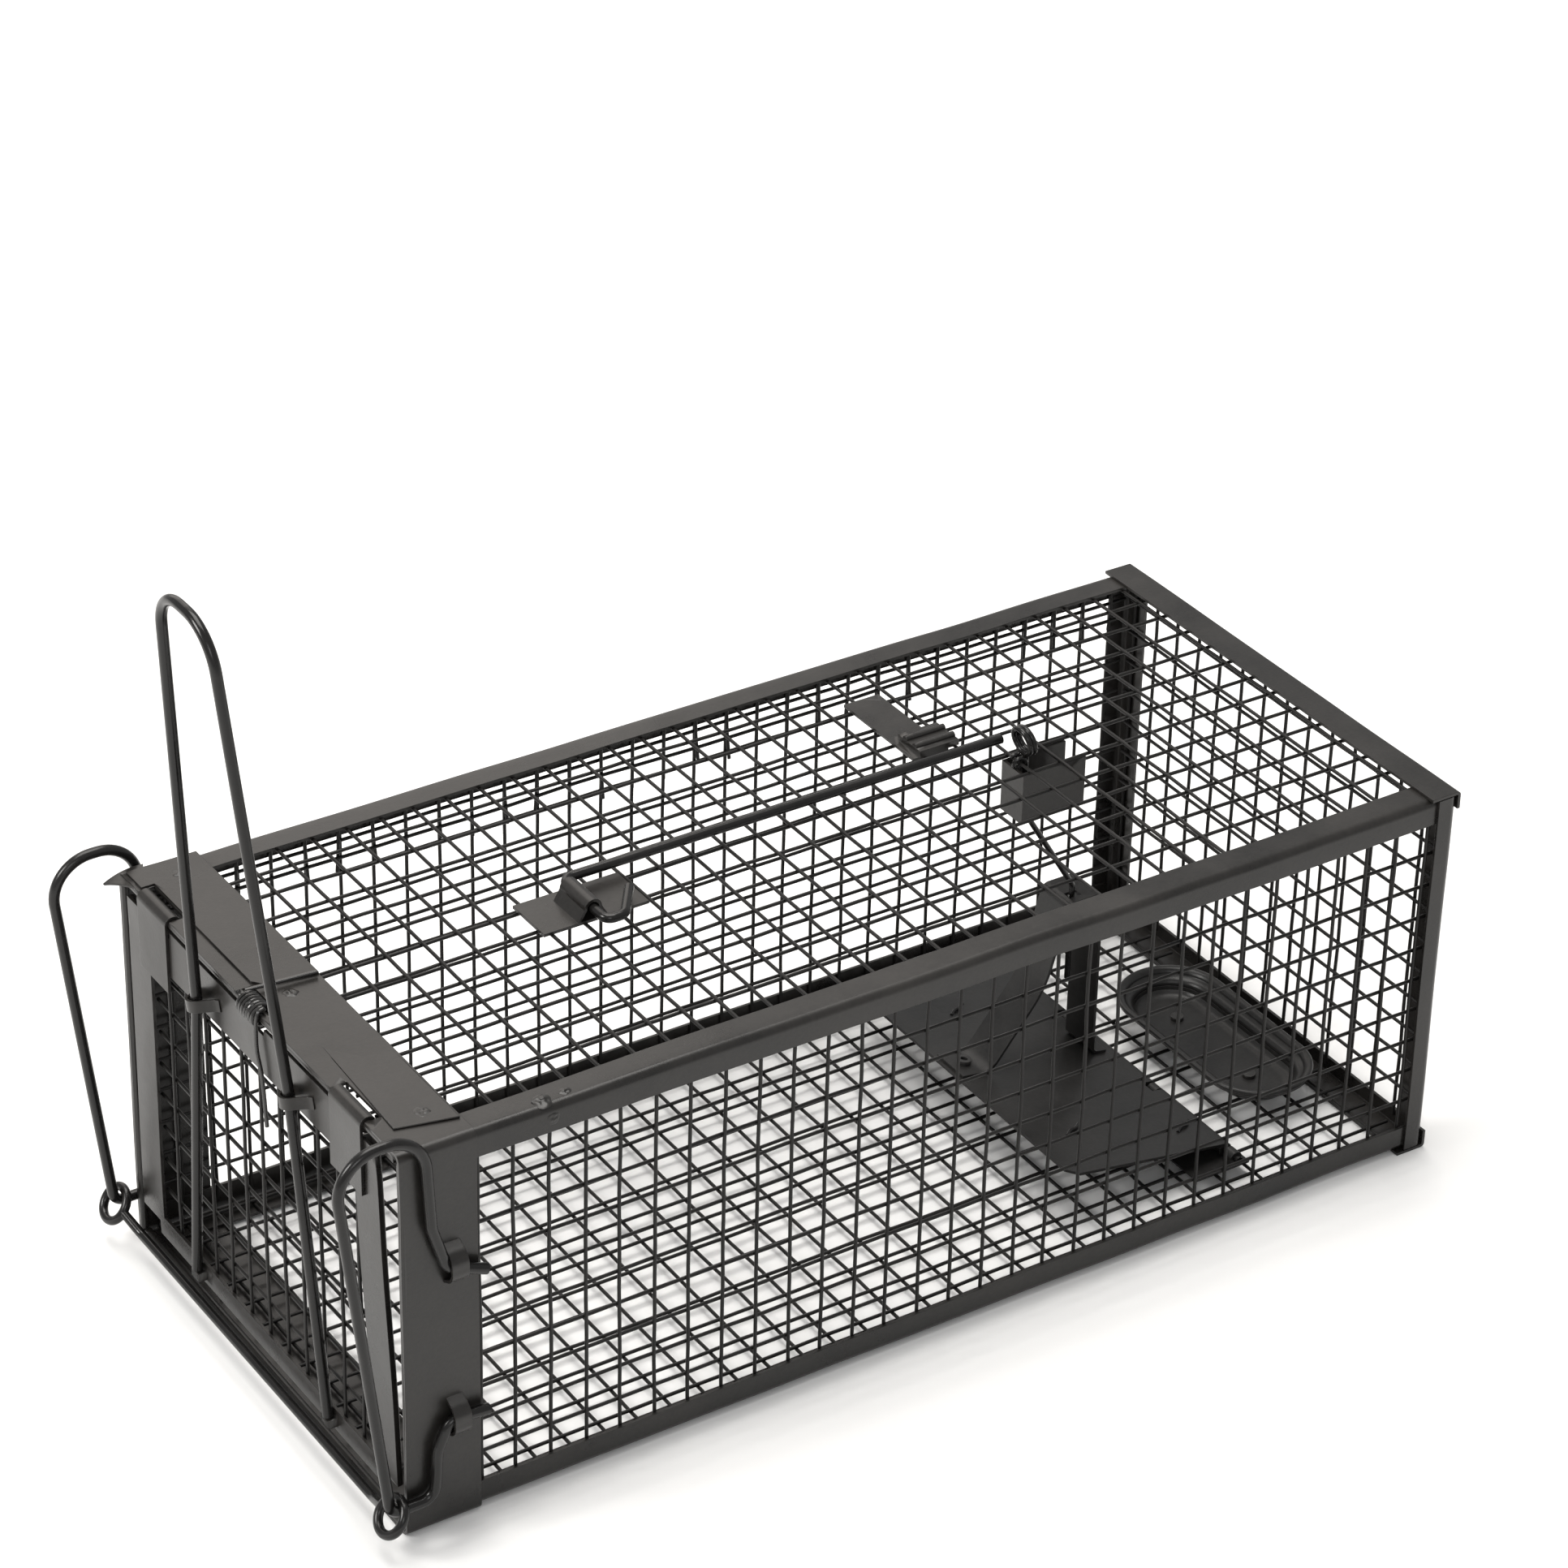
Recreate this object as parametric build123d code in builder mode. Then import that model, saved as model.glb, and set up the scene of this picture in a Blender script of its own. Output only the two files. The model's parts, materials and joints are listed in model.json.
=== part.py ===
"""Live catch trap: a long wire-mesh cage with a spring-loaded drop door, a lock bar and a treadle.

X runs from the door to the rear, Y to the left side and Z up. The origin is on the resting plane,
in the middle of the overall length and width.
Distances along the cage are measured from its front face with front(distance).
"""

import os
from math import cos, hypot, radians, sin

from build123d import *

# Driving dimensions, in millimetres
LENGTH = 305.0  # front face to rear face of the cage
ORIGIN_SETBACK = 143.57  # front face back to the middle of the overall length, wires included
WIDTH = 140.0
HEIGHT = 109.0
SHEET = 0.8  # thickness of all bent sheet metal
BAND_DEPTH = 20.0  # length of the frame band round the front opening
MESH_PITCH = 9.5
MESH_WIRE = 1.2
MESH_DEPTH = 2.0  # two crossed layers of mesh wire
EDGE_TOP_FLANGE = 9.0
EDGE_SIDE_FLANGE = 8.0
REAR_TOP_FLANGE = 9.0
REAR_SIDE_FLANGE = 6.0
REAR_BACK_FLANGE = 5.0
REAR_BEND = 1.1  # outer radius of the tight fold along the rear strips
BEND_RADIUS = 2.2  # outer radius of every folded sheet corner

# Mesh planes
MESH_TOP = HEIGHT - 2 * SHEET  # upper face of the top mesh
MESH_FLOOR = 2 * SHEET  # lower face of the floor mesh
MESH_SIDE = WIDTH / 2 - 2 * SHEET  # outer face of a side mesh
MESH_FRONT = 4.8  # where every mesh panel and long edge begins
REAR_MESH_FACE = LENGTH - 2 * SHEET  # outer face of the rear mesh
FLOOR_LEVEL = MESH_FLOOR + MESH_DEPTH  # upper face of the floor mesh

# Door hinge: the rolled front edge of the band's top plate is the hinge pin
ROLL_RADIUS = 1.3
HINGE_X = 1.3
HINGE_Z = HEIGHT - 0.1 - ROLL_RADIUS
STRAP_BORE = 1.36
STRAP_OUTER = STRAP_BORE + SHEET
STRAP_WIDTH = 15.0
STRAP_CENTRES = (-46.0, 51.0)
SLOT_REACH = 4.2  # how far each slot in the top plate runs back
SLOT_SLACK = 1.2  # how much wider than its strap each slot is

# Door leaf
DOOR_FACE = HINGE_X - STRAP_BORE  # front face of the door frame
DOOR_HALF = 65.8
DOOR_TOP = 104.2
DOOR_BOTTOM = 8.5
STILE_WIDTH = 11.0
STILE_BOTTOM = 12.4
RAIL_TOP = 106.0
RAIL_TOP_FOOT = 93.2
STILE_LEAN = {1: 0.0, -1: 7.0}  # how far the top of each stile stands inboard
RAIL_BOTTOM_DEPTH = 6.0
RAIL_BOTTOM_HALF = 57.0

# Wire forms
LEVER_WIRE = 2.8
LEVER_FOOT_HALF = 34.0
LEVER_TAB_HALF = 23.4
LEVER_TOP_HALF = 12.3
LEVER_FOOT_Z = 12.6
LEVER_TAB_X = -3.0
LEVER_TAB_Z = 98.0
GUIDE_WIRE = 2.8
GUIDE_Y = 72.0
GUIDE_SLOPE = 0.1176  # how far a guide leans forward for each unit of height
GUIDE_FOOT = (-5.55, 11.0)
GUIDE_CREST = 114.8
LOCK_WIRE = 2.4
LOCK_BAR_X = -3.8
LOCK_BAR_Z = 7.05
EYE_CENTRE = (-5.45, 10.35)
EYE_RADIUS = 4.5  # to the centre of the wire
EYE_TILT = 35.0  # lean of the eyes from the upright
EYE_RUN = 7.0  # length over which the bar bends up to its eye

# Trigger rod and its saddle on the top mesh
ROD_WIRE = 2.5
ROD_X = 88.3
ROD_Z = 111.2
ROD_SIDE = 8.2
ROD_TIP = 218.2
SADDLE_BORE = 1.65

# Catch
CATCH_WIRE = 1.5
CATCH_Y = 2.45
CATCH_PIVOT = (219.6, 107.6)
BRACKET_FRONT = 218.0
BRACKET_LENGTH = 19.5
BRACKET_DROP = 14.4

# Treadle
AXLE_X = 253.5
AXLE_Z = 6.2
AXLE_RADIUS = 1.0
TREADLE_BORE = 1.06
TREADLE_HALF = 51.0
TREADLE_FRONT = (203.5, 16.3)
ARCH_WIDTH = 12.0
ARCH_Y = 5.0
ARCH_TOP = 60.0
ARCH_REAR = 246.8
ARCH_HOLE_X = 239.6

# Bait dish
DISH_CENTRE = (281.2, -9.0)
DISH_LENGTH = 64.0
DISH_WIDTH = 27.8
DISH_HEIGHT = 7.0
DISH_LIP = 1.6


def front(distance):
    """Give the X of a point that lies this far behind the front face of the cage."""
    return distance - ORIGIN_SETBACK


def round_wire(points, radii, diameter):
    """Bend a round wire along a run of points, with one bend radius for each corner."""
    with BuildPart() as wire:
        with BuildLine() as path:
            FilletPolyline(*points, radius=radii)
        with BuildSketch(Plane(origin=path.line @ 0, z_dir=path.line % 0)):
            Circle(diameter / 2)
        sweep()
    return wire.part


def plate(low, high):
    """Make a flat rectangular plate between two corners."""
    size = [b - a for a, b in zip(low, high)]
    middle = [(a + b) / 2 for a, b in zip(low, high)]
    with BuildPart() as flat:
        with Locations(tuple(middle)):
            Box(*size)
    return flat.part


def folded_angle(plane, corner, towards, flanges, length, bend=BEND_RADIUS):
    """Fold a strip to an angle section, drawn on the plane and extruded along its normal."""
    u, v = corner
    du, dv = towards
    fu, fv = flanges
    with BuildPart() as angle:
        with BuildSketch(plane) as section:
            with BuildLine():
                Polyline(
                    (u, v),
                    (u + du * fu, v),
                    (u + du * fu, v + dv * SHEET),
                    (u + du * SHEET, v + dv * SHEET),
                    (u + du * SHEET, v + dv * fv),
                    (u, v + dv * fv),
                    close=True,
                )
            make_face()
            outer_corner = section.vertices().sort_by_distance((u, v, 0))[0]
            fillet(outer_corner, bend)
            inner_corner = section.vertices().sort_by_distance((u + du * SHEET, v + dv * SHEET, 0))[0]
            fillet(inner_corner, bend - SHEET)
        extrude(amount=length)
    return angle.part


def mesh_panel(plane, low, high, first_wires):
    """Make a welded mesh panel with a solid selvedge under the strips that hold it."""
    centre = ((low[0] + high[0]) / 2, (low[1] + high[1]) / 2)
    size = (high[0] - low[0], high[1] - low[1])
    selvedge = 4.0
    columns = int((high[0] - selvedge - first_wires[0]) // MESH_PITCH) + 1
    rows = int((high[1] - selvedge - first_wires[1]) // MESH_PITCH) + 1
    column_middle = first_wires[0] + (columns - 1) * MESH_PITCH / 2
    row_middle = first_wires[1] + (rows - 1) * MESH_PITCH / 2
    with BuildPart() as panel:
        with BuildSketch(plane):
            with Locations(centre):
                Rectangle(*size)
                Rectangle(size[0] - 2 * selvedge, size[1] - 2 * selvedge, mode=Mode.SUBTRACT)
            with Locations((column_middle, centre[1])):
                with GridLocations(MESH_PITCH, 1, columns, 1):
                    Rectangle(MESH_WIRE, size[1] - selvedge)
            with Locations((centre[0], row_middle)):
                with GridLocations(1, MESH_PITCH, 1, rows):
                    Rectangle(size[0] - selvedge, MESH_WIRE)
        extrude(amount=MESH_DEPTH)
    return panel.part


def front_band():
    """Wrap the front opening in a closed sheet band with rolled front edges and three top slots."""
    side_roll = 1.0
    slots = [(centre, STRAP_WIDTH + SLOT_SLACK) for centre in STRAP_CENTRES] + [(2.0, 13.0)]
    with BuildPart() as band:
        with BuildSketch(Plane.YZ.offset(front(0))):
            with Locations((0, HEIGHT / 2)):
                RectangleRounded(WIDTH, HEIGHT, BEND_RADIUS)
                RectangleRounded(
                    WIDTH - 2 * SHEET, HEIGHT - 2 * SHEET, BEND_RADIUS - SHEET, mode=Mode.SUBTRACT
                )
        extrude(amount=BAND_DEPTH)
        for centre, width in slots:
            with Locations((front(SLOT_REACH / 2), centre, HINGE_Z + 1)):
                Box(SLOT_REACH + 0.4, width, 4, mode=Mode.SUBTRACT)
        for height in (HINGE_Z, ROLL_RADIUS):
            with Locations((front(HINGE_X), 0, height)):
                Cylinder(ROLL_RADIUS, WIDTH - 2 * BEND_RADIUS, rotation=(90, 0, 0))
        for side in (-1, 1):
            with Locations((front(side_roll), side * (WIDTH / 2 - side_roll), HEIGHT / 2)):
                Cylinder(side_roll, HEIGHT - 2 * BEND_RADIUS)
    return band.part


def band_overlap():
    """Lay the left half of the band's top plate over the right half, with a slanted edge."""
    thickness = 0.6
    slot = (STRAP_CENTRES[1] - STRAP_WIDTH / 2 - 1, STRAP_CENTRES[1] + STRAP_WIDTH / 2 + 1)
    with BuildPart() as overlap:
        with BuildSketch(Plane.XY.offset(HEIGHT)):
            with BuildLine():
                Polyline(
                    (front(BAND_DEPTH), 5.0),
                    (front(BAND_DEPTH), WIDTH / 2 - BEND_RADIUS),
                    (front(SLOT_REACH + 0.3), WIDTH / 2 - BEND_RADIUS),
                    (front(SLOT_REACH + 0.3), 9.5),
                    (front(BAND_DEPTH / 3), 7.0),
                    close=True,
                )
            make_face()
        extrude(amount=thickness)
        with BuildSketch(Plane.XY.offset(HEIGHT)):
            with Locations((front(3), (slot[1] + WIDTH / 2 - BEND_RADIUS) / 2)):
                Rectangle(4, WIDTH / 2 - BEND_RADIUS - slot[1])
        extrude(amount=thickness)
    return overlap.part


def guide_straps():
    """Lance four straps out of the band's sides, two on each side, to hold the guide wires."""
    strap_x = 13.0
    strap_width = 4.0
    cover = GUIDE_Y + GUIDE_WIRE / 2 + 0.3
    with BuildPart() as straps:
        for side in (-1, 1):
            for height, tall in ((75.6, 11.0), (31.6, 10.0)):
                with Locations((front(strap_x), side * (WIDTH / 2 + cover + SHEET) / 2, height)):
                    Box(strap_width, cover + SHEET - WIDTH / 2, tall)
                with Locations((front(strap_x), side * (WIDTH / 2 + cover) / 2, height)):
                    Box(strap_width, cover - WIDTH / 2, tall - 2 * SHEET, mode=Mode.SUBTRACT)
    return straps.part


def guide_wire(side):
    """Bend one guide wire: from its upper strap over the crest and down in front of the door."""
    y = side * GUIDE_Y
    crest_x = GUIDE_FOOT[0] - GUIDE_SLOPE * (GUIDE_CREST - GUIDE_FOOT[1])
    route = [
        (20.9, 71.6),
        (10.6, 75.8),
        (6.9, 88.0),
        (5.4, GUIDE_CREST),
        (crest_x, GUIDE_CREST),
        GUIDE_FOOT,
        (6.2, 11.0),
        (7.2, 24.6),
        (10.6, 32.2),
        (20.9, 31.2),
    ]
    points = [(front(x), y, z) for x, z in route]
    return round_wire(points, [5, 8, 10.4, 10.4, 3, 4, 5, 4], GUIDE_WIRE)


def lock_bar():
    """Bend the lock bar, with an eye round each guide wire."""
    eye_y = GUIDE_Y - EYE_RADIUS
    eye_x, eye_z = EYE_CENTRE
    tilt = radians(EYE_TILT)
    ends = [(front(eye_x), side * eye_y, eye_z) for side in (-1, 1)]
    knees = [(front(LOCK_BAR_X), side * (eye_y - EYE_RUN), LOCK_BAR_Z) for side in (-1, 1)]
    bar = round_wire([ends[0], knees[0], knees[1], ends[1]], [6, 6], LOCK_WIRE)
    with BuildPart() as lock:
        add(bar)
        for side in (-1, 1):
            eye_plane = Plane(
                origin=(front(eye_x), side * GUIDE_Y, eye_z),
                x_dir=(0, 1, 0),
                z_dir=(cos(tilt), 0, -sin(tilt)),
            )
            with Locations(eye_plane):
                Torus(EYE_RADIUS, LOCK_WIRE / 2)
    return lock.part


def door_top_rail():
    """Cut the flat top rail between the stiles, notched for the straps and the spring."""
    right, left = [side * (DOOR_HALF - STILE_WIDTH - STILE_LEAN[side]) for side in (-1, 1)]
    notches = [(centre, STRAP_WIDTH + 1) for centre in STRAP_CENTRES] + [(1.0, 13.0)]
    with BuildPart() as rail:
        add(
            plate(
                (front(DOOR_FACE), right + 0.1, RAIL_TOP_FOOT),
                (front(DOOR_FACE + SHEET), left, RAIL_TOP),
            )
        )
        for centre, width in notches:
            with Locations((front(DOOR_FACE + SHEET / 2), centre, RAIL_TOP)):
                Box(2 * SHEET, width, 2 * (RAIL_TOP - DOOR_TOP), mode=Mode.SUBTRACT)
    return rail.part


def door_bottom_rail():
    """Cut the flat bottom rail, with a small clip under each foot of the lever."""
    clip_depth = 2.2
    clip_half = 2.0
    with BuildPart() as rail:
        add(
            plate(
                (front(DOOR_FACE), -RAIL_BOTTOM_HALF, DOOR_BOTTOM),
                (front(DOOR_FACE + SHEET), RAIL_BOTTOM_HALF, DOOR_BOTTOM + RAIL_BOTTOM_DEPTH),
            )
        )
        with Locations(
            *[(front(DOOR_FACE - clip_depth / 2), side * LEVER_FOOT_HALF, 11.0) for side in (-1, 1)]
        ):
            Box(clip_depth, 2 * clip_half, 2.4)
    return rail.part


def door_stile(side):
    """Cut one stile: a flat strip with a rolled outer edge, cut away over the bottom rail."""
    foot = side * DOOR_HALF
    head = side * (DOOR_HALF - STILE_LEAN[side])
    step = DOOR_BOTTOM + RAIL_BOTTOM_DEPTH
    roll = 0.9
    with BuildPart() as stile:
        with BuildSketch(Plane.YZ.offset(front(DOOR_FACE))):
            with BuildLine():
                Polyline(
                    (head, DOOR_TOP),
                    (head - side * STILE_WIDTH, DOOR_TOP),
                    (foot - side * STILE_WIDTH, step),
                    (side * RAIL_BOTTOM_HALF, step),
                    (side * RAIL_BOTTOM_HALF, STILE_BOTTOM),
                    (foot, STILE_BOTTOM),
                    close=True,
                )
            make_face()
        extrude(amount=SHEET)
        with BuildLine():
            edge = Line(
                (front(DOOR_FACE + roll), foot - side * roll, STILE_BOTTOM),
                (front(DOOR_FACE + roll), head - side * roll, DOOR_TOP),
            )
        with BuildSketch(Plane(origin=edge @ 0, z_dir=edge % 0)):
            Circle(roll)
        sweep()
    return stile.part


def hinge_strap(centre):
    """Roll a strap round the hinge edge and run its flat tongue down the front of the door."""
    tongue = 19.0
    with BuildPart() as strap:
        with BuildSketch(Plane.XZ.offset(-centre)):
            with Locations((front(HINGE_X), HINGE_Z)):
                Circle(STRAP_OUTER)
            with Locations((front(HINGE_X - STRAP_OUTER + SHEET / 2), HINGE_Z - tongue / 2)):
                Rectangle(SHEET, tongue)
            with Locations((front(HINGE_X), HINGE_Z)):
                Circle(STRAP_BORE, mode=Mode.SUBTRACT)
        extrude(amount=STRAP_WIDTH / 2, both=True)
    return strap.part


def lever_wire():
    """Bend the setting lever: two legs that rise from the door to a narrow loop."""
    foot_x = DOOR_FACE - LEVER_WIRE / 2 - 0.05
    loop_x = -12.5
    loop_z = 219.0
    half_route = [
        (foot_x, LEVER_FOOT_HALF, LEVER_FOOT_Z),
        (LEVER_TAB_X, LEVER_TAB_HALF, LEVER_TAB_Z),
        (loop_x, LEVER_TOP_HALF, loop_z),
    ]
    right = [(front(x), -y, z) for x, y, z in half_route]
    left = [(front(x), y, z) for x, y, z in reversed(half_route)]
    return round_wire(right + left, [60, 11.5, 11.5, 60], LEVER_WIRE)


def lever_bridges():
    """Lance two bridges out of the top rail, one over each leg of the lever."""
    reach = DOOR_FACE - (LEVER_TAB_X - LEVER_WIRE / 2 - 0.3)
    inner_half = 2.6
    depth = 3.0
    with BuildPart() as bridges:
        for side in (-1, 1):
            middle = (front(DOOR_FACE - (reach + SHEET) / 2), side * LEVER_TAB_HALF, LEVER_TAB_Z)
            with Locations(middle):
                Box(reach + SHEET, 2 * (inner_half + SHEET), depth)
            with Locations((front(DOOR_FACE - reach / 2), side * LEVER_TAB_HALF, LEVER_TAB_Z)):
                Box(reach, 2 * inner_half, depth, mode=Mode.SUBTRACT)
    return bridges.part


def spring_coil():
    """Stand the coil of the door spring round the hinge edge, with its leg on the top plate."""
    coil_outer = 2.75
    coil_inner = 1.75
    leg_wire = 1.0
    with BuildPart() as coil:
        with BuildSketch(Plane.XZ.offset(-2.0)):
            with Locations((front(HINGE_X), HINGE_Z)):
                Circle(coil_outer)
                Circle(coil_inner, mode=Mode.SUBTRACT)
        extrude(amount=4.8, both=True)
        with Locations((front(11.0), 4.3, HEIGHT + leg_wire / 2)):
            Cylinder(leg_wire / 2, 17.0, rotation=(0, 90, 0))
    return coil.part


def spring_leg():
    """Run the free leg of the door spring down over the top rail."""
    leg_wire = 1.0
    start = (front(HINGE_X - 2.25), -4.0, HINGE_Z - 1.0)
    knee = (front(DOOR_FACE - 1.1), -4.3, 99.0)
    end = (front(DOOR_FACE - 1.0), -7.0, 80.0)
    return round_wire([start, knee, end], [8], leg_wire)


def rod_bracket():
    """Press a saddle into the middle of a small plate; the trigger rod turns in it."""
    plate_front = 74.6
    plate_rear = 104.0
    plate_half = 7.5
    plate_y = 0.6
    saddle_half = 5.9
    saddle_y = -1.0
    top = MESH_TOP + SHEET
    wall_foot = 4.2
    with BuildPart() as bracket:
        with Locations((front((plate_front + plate_rear) / 2), plate_y, MESH_TOP + SHEET / 2)):
            Box(plate_rear - plate_front, 2 * plate_half, SHEET)
        with BuildSketch(Plane.XZ.offset(-saddle_y)):
            for mode, bore, foot in (
                (Mode.ADD, SADDLE_BORE + SHEET, wall_foot),
                (Mode.SUBTRACT, SADDLE_BORE, wall_foot - SHEET),
            ):
                with Locations((front(ROD_X), ROD_Z)):
                    Circle(bore, mode=mode)
                with BuildLine(mode=Mode.PRIVATE) as wall:
                    Polyline(
                        (front(ROD_X - foot), top),
                        (front(ROD_X - bore), ROD_Z),
                        (front(ROD_X + bore), ROD_Z),
                        (front(ROD_X + foot), top),
                        close=True,
                    )
                make_face(wall.edges(), mode=mode)
        extrude(amount=saddle_half, both=True)
    return bracket.part


def trigger_rod():
    """Bend the trigger rod: a hooked near end, a short axle in the saddle and a long arm."""
    route = [(100.6, -3.2), (93.5, -13.0), (ROD_X, -13.0), (ROD_X, ROD_SIDE), (ROD_TIP, ROD_SIDE)]
    points = [(front(x), y, ROD_Z) for x, y in route]
    return round_wire(points, [3, 2.2, 3], ROD_WIRE)


def rod_clip():
    """Fold a strip back on itself, with two pressed ribs, on the top mesh beside the rod."""
    with BuildPart() as clip:
        add(plate((front(196.3), 15.3, MESH_TOP), (front(207.0), 47.5, MESH_TOP + SHEET)))
        add(plate((front(198.3), 15.3, MESH_TOP + SHEET), (front(210.2), 25.5, MESH_TOP + 2.4)))
        for y in (18.0, 22.4):
            with Locations((front(204.3), y, MESH_TOP + 2.4)):
                Cylinder(1.0, 11.9, rotation=(0, 90, 0))
    return clip.part


def catch_bracket():
    """Fold the channel that hangs under the top mesh and shields the catch."""
    top = MESH_TOP - MESH_DEPTH
    half = MESH_PITCH / 2
    rear = BRACKET_FRONT + BRACKET_LENGTH
    with BuildPart() as bracket:
        with Locations(
            (front((BRACKET_FRONT + rear) / 2), CATCH_Y, top - BRACKET_DROP / 2),
        ):
            Box(BRACKET_LENGTH, 2 * half, BRACKET_DROP)
        with Locations(
            (front((BRACKET_FRONT + rear) / 2 + SHEET), CATCH_Y, top - BRACKET_DROP / 2),
        ):
            Box(BRACKET_LENGTH, 2 * (half - SHEET), BRACKET_DROP, mode=Mode.SUBTRACT)
    return bracket.part


def catch_wire():
    """Bend the catch: a ring above the mesh that takes the rod's tip, and a long tail below."""
    ring_centre = (221.4, 112.6)
    ring_radius = 3.6
    tail = [
        (222.1, 109.4),
        (222.1, 103.0),
        (224.3, 88.1),
        (239.3, 63.5),
        (239.3, 34.5),
    ]
    points = [(front(x), CATCH_Y, z) for x, z in tail]
    stem = round_wire(points, [8, 8, 3], CATCH_WIRE)
    with BuildPart() as catch:
        add(stem)
        for step in (-1, 1):
            ring_plane = Plane(
                origin=(front(ring_centre[0] + step * CATCH_WIRE * 0.45), CATCH_Y, ring_centre[1]),
                z_dir=(cos(radians(12)), 0, sin(radians(12))),
            )
            with Locations(ring_plane):
                Torus(ring_radius, CATCH_WIRE / 2)
    return catch.part


def treadle_base():
    """Cut the strip under the treadle's rear edge, with the four lugs that hold the axle."""
    strip_front = 240.6
    strip_rear = 257.6
    half = 56.0
    lug_places = (-54.0, -20.0, 20.0, 54.0)
    with BuildPart() as base:
        add(plate((front(strip_front), -half, FLOOR_LEVEL), (front(strip_rear), half, FLOOR_LEVEL + 0.6)))
        with BuildSketch(Plane.XZ) as lug:
            with Locations((front(AXLE_X), AXLE_Z)):
                Circle(AXLE_RADIUS + SHEET)
            with Locations((front(AXLE_X), (AXLE_Z + FLOOR_LEVEL) / 2)):
                Rectangle(2 * (AXLE_RADIUS + SHEET), AXLE_Z - FLOOR_LEVEL)
            with Locations((front(AXLE_X), AXLE_Z)):
                Circle(AXLE_RADIUS, mode=Mode.SUBTRACT)
        for y in lug_places:
            extrude(lug.sketch.moved(Location((0, y, 0))), amount=1.6, both=True)
    return base.part


def treadle_axle():
    """Cut the wire that the treadle turns on."""
    with BuildPart() as axle:
        with Locations((front(AXLE_X), 0, AXLE_Z)):
            Cylinder(AXLE_RADIUS, 114.0, rotation=(90, 0, 0))
    return axle.part


def treadle_slope():
    """Give the unit vector that runs up the treadle from its axle to its front edge."""
    rise = TREADLE_FRONT[1] - (AXLE_Z + TREADLE_BORE + SHEET / 2)
    run = TREADLE_FRONT[0] - AXLE_X
    length = hypot(rise, run)
    return run / length, rise / length


def treadle_height(x):
    """Give the height of the treadle's upper face at a distance from the cage's front."""
    run, rise = treadle_slope()
    return AXLE_Z + TREADLE_BORE + SHEET + (x - AXLE_X) * rise / run


def treadle_plate():
    """Cut the treadle with clipped front corners and roll its rear edge round the axle."""
    corner = 3.0
    gaps = (-54.0, -20.0, 20.0, 54.0)
    gap_half = 2.2
    thickness = SHEET / 2
    with BuildPart() as treadle:
        with BuildSketch(Plane.XZ):
            with BuildLine():
                Line(
                    (front(AXLE_X), AXLE_Z + TREADLE_BORE + thickness),
                    (front(TREADLE_FRONT[0]), TREADLE_FRONT[1]),
                )
            trace(line_width=SHEET)
        extrude(amount=TREADLE_HALF, both=True)
        chamfer(treadle.edges().filter_by(Axis.Z, tolerance=15).group_by(Axis.X)[0], corner)
        with BuildSketch(Plane.XZ):
            with Locations((front(AXLE_X), AXLE_Z)):
                Circle(TREADLE_BORE + SHEET)
                Circle(TREADLE_BORE, mode=Mode.SUBTRACT)
        extrude(amount=TREADLE_HALF, both=True)
        with Locations((front(AXLE_X), 0, AXLE_Z)):
            Cylinder(TREADLE_BORE, 2 * TREADLE_HALF, rotation=(90, 0, 0), mode=Mode.SUBTRACT)
        for y in gaps:
            with Locations((front(AXLE_X + 0.5), y, AXLE_Z)):
                Box(6.0, 2 * gap_half, 6.0, mode=Mode.SUBTRACT)
    return treadle.part


def treadle_arch():
    """Fold the strip that stands on the treadle and pushes the tail of the catch."""
    lift = SHEET / 2 + 0.02
    foot_front = 204.5
    foot_bend = 213.4
    foot_rear = 251.2
    route = [
        (foot_front, treadle_height(foot_front) + lift),
        (foot_bend, treadle_height(foot_bend) + lift),
        (229.7, 36.0),
        (236.4, ARCH_TOP),
        (ARCH_REAR, ARCH_TOP),
        (ARCH_REAR, treadle_height(ARCH_REAR) + lift),
        (foot_rear, treadle_height(foot_rear) + lift),
    ]
    with BuildPart() as arch:
        with BuildSketch(Plane.XZ.offset(-ARCH_Y)):
            with BuildLine():
                FilletPolyline(*[(front(x), z) for x, z in route], radius=[6, 30, 2, 2, 2])
            trace(line_width=SHEET)
        extrude(amount=ARCH_WIDTH / 2, both=True)
        with Locations((front(ARCH_HOLE_X), CATCH_Y, ARCH_TOP)):
            Box(3.6, 2.8, 3.0, mode=Mode.SUBTRACT)
    return arch.part


def arch_rivets():
    """Set an eyelet rivet square on each foot of the arch."""
    run, rise = treadle_slope()
    head = 0.8
    head_lift = SHEET * 1.5 + head / 2 + 0.05
    with BuildPart() as rivets:
        for x in (208.6, 249.2):
            seat = Plane(
                origin=(front(x) + rise * head_lift, ARCH_Y, treadle_height(x) - run * head_lift),
                z_dir=(rise, 0, -run),
            )
            with Locations(seat):
                Cylinder(2.0, head)
                Cylinder(1.0, head, mode=Mode.SUBTRACT)
    return rivets.part


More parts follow.
